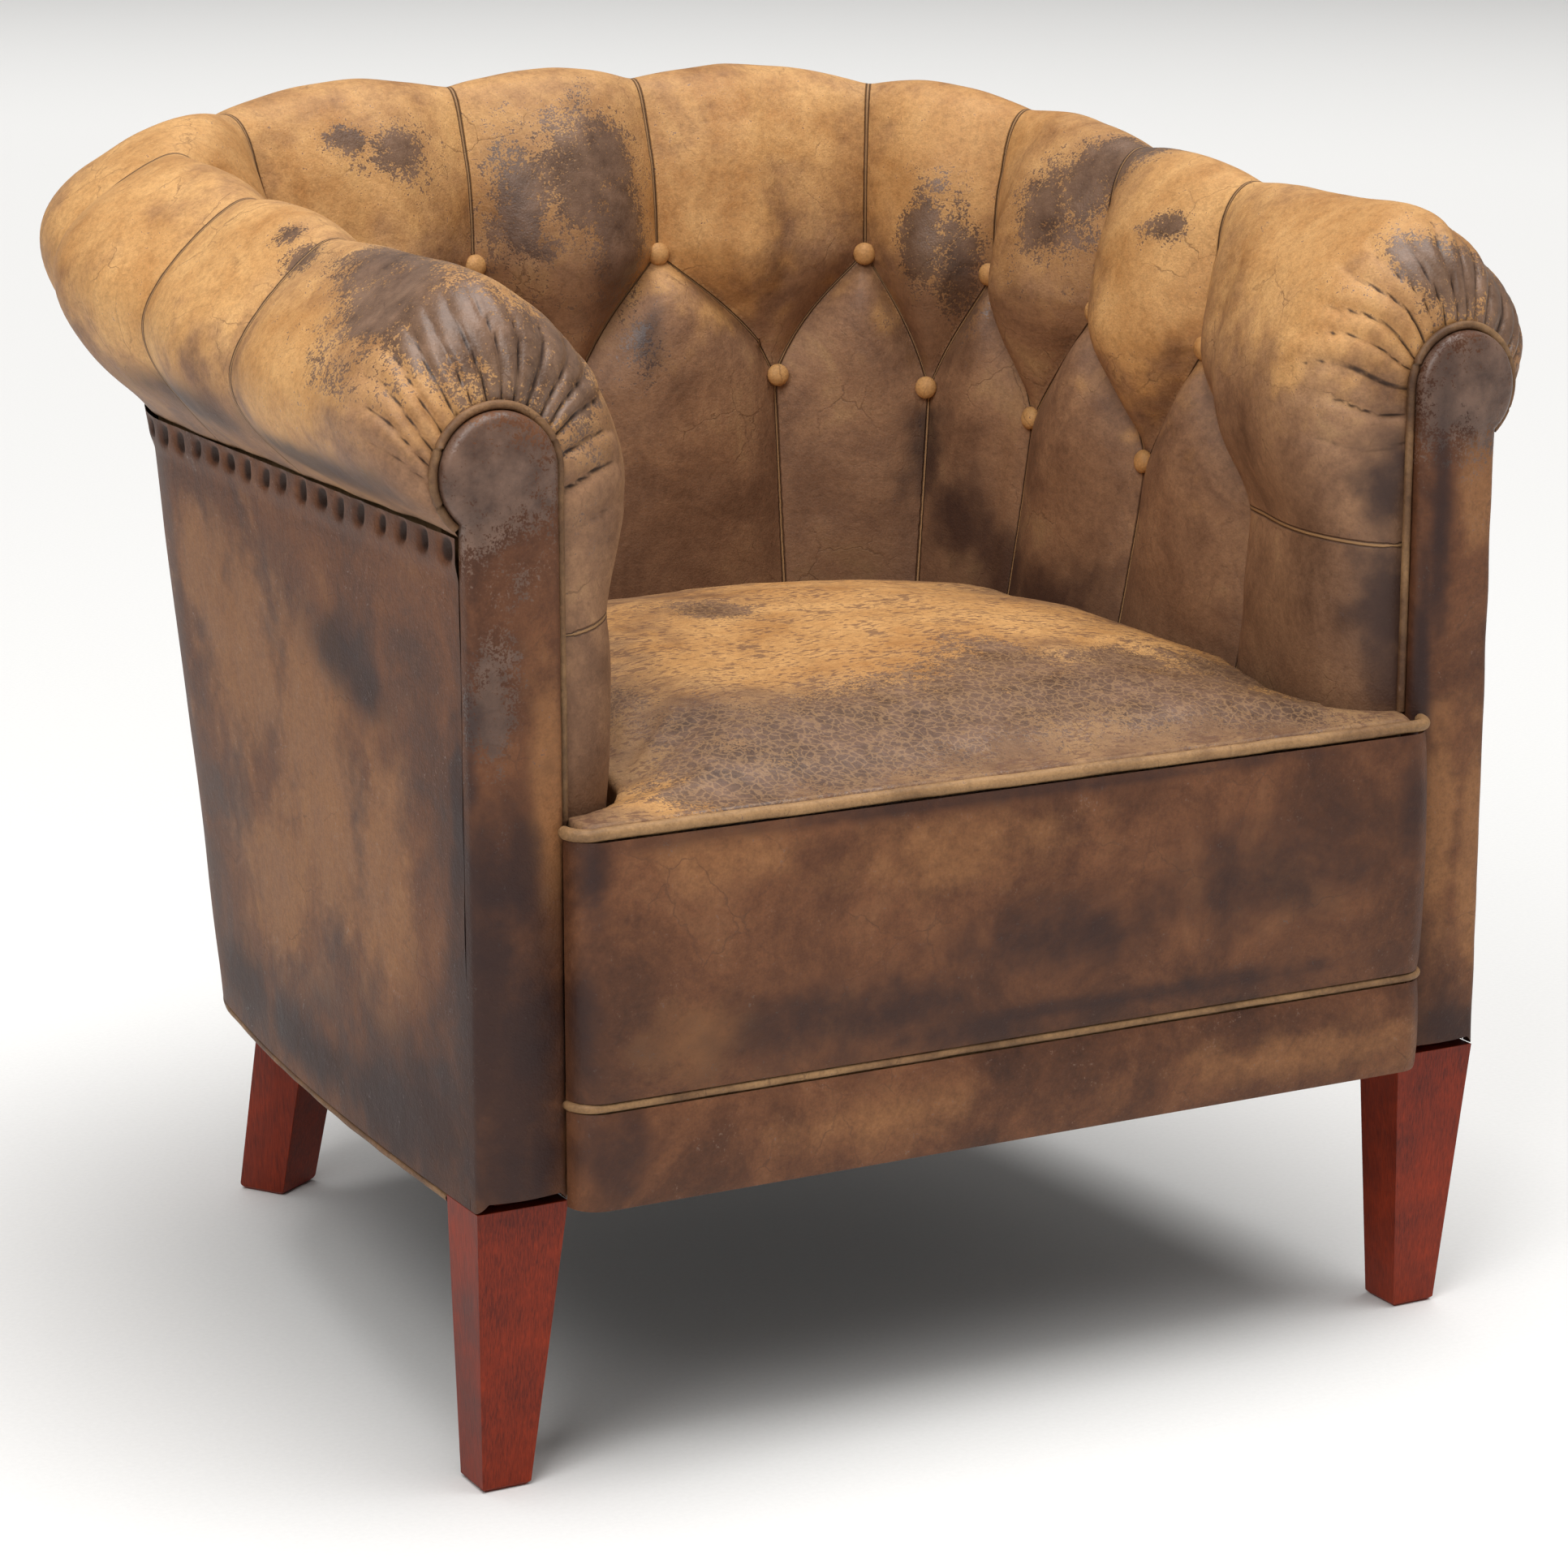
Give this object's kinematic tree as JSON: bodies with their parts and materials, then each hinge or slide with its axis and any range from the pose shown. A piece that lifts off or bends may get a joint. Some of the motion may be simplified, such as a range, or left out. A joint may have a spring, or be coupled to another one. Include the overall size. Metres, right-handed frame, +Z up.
{
  "type": "worn club chair",
  "caption": "Worn leather tub armchair with a deep-buttoned curved back, rolled arms with scroll fronts, a sprung seat and square tapered wooden legs.",
  "frame": {"origin": "on the floor, in the middle of the footprint", "axes": "+Z up, -Y towards the front of the seat, +X to the sitter's left"},
  "size_m": [0.8268, 0.765, 0.7609],
  "materials": {
    "worn_tan_leather": "aniline-dyed hide rubbed to a dull gloss, with dark crackled patches",
    "worn_brown_leather": "the same hide, matt and scuffed, with smears and dark edges",
    "piping_leather": "narrow hide strips over cord, rubbed pale along the crest",
    "stained_beech": "red-brown stain under worn shellac, satin",
    "raw_beech": "sawn and unfinished",
    "coconut_fibre": "loose curled fibre",
    "jute_webbing": "plain woven jute",
    "spring_steel": "dull drawn wire",
    "black_lining_cloth": "thin plain cotton"
  },
  "bodies": {
    "root": {"apron_band": "worn_brown_leather", "arm_and_back_stuffing": "coconut_fibre", "back_upright_left": "raw_beech", "back_upright_middle": "raw_beech", "back_upright_right": "raw_beech", "base_piping": "piping_leather", "border_piping": "piping_leather", "dust_cover": "black_lining_cloth", "front_border": "worn_brown_leather", "front_post_left": "stained_beech", "front_post_right": "stained_beech", "inside_cover": "worn_tan_leather", "lower_button_01": "worn_tan_leather", "lower_button_02": "worn_tan_leather", "lower_button_03": "worn_tan_leather", "lower_button_04": "worn_tan_leather", "lower_button_05": "worn_tan_leather", "lower_button_06": "worn_tan_leather", "lower_button_07": "worn_tan_leather", "lower_button_08": "worn_tan_leather", "lower_button_09": "worn_tan_leather", "lower_button_10": "worn_tan_leather", "lower_button_11": "worn_tan_leather", "outside_cover": "worn_brown_leather", "rear_leg_left": "stained_beech", "rear_leg_right": "stained_beech", "scroll_facing_left": "worn_brown_leather", "scroll_facing_right": "worn_brown_leather", "scroll_piping_left": "piping_leather", "scroll_piping_right": "piping_leather", "seat_cover": "worn_tan_leather", "seat_rail_back": "raw_beech", "seat_rail_front": "raw_beech", "seat_rail_left": "raw_beech", "seat_rail_right": "raw_beech", "seat_spring_1": "spring_steel", "seat_spring_2": "spring_steel", "seat_spring_3": "spring_steel", "seat_spring_4": "spring_steel", "seat_spring_5": "spring_steel", "seat_spring_6": "spring_steel", "seat_spring_7": "spring_steel", "seat_spring_8": "spring_steel", "seat_stuffing": "coconut_fibre", "seat_webbing": "jute_webbing", "seat_welt": "piping_leather", "spring_hessian": "jute_webbing", "top_rail_back": "raw_beech", "top_rail_left": "raw_beech", "top_rail_right": "raw_beech", "upper_button_01": "worn_tan_leather", "upper_button_02": "worn_tan_leather", "upper_button_03": "worn_tan_leather", "upper_button_04": "worn_tan_leather", "upper_button_05": "worn_tan_leather", "upper_button_06": "worn_tan_leather", "upper_button_07": "worn_tan_leather", "upper_button_08": "worn_tan_leather", "upper_button_09": "worn_tan_leather", "upper_button_10": "worn_tan_leather"}
  },
  "joints": []
}
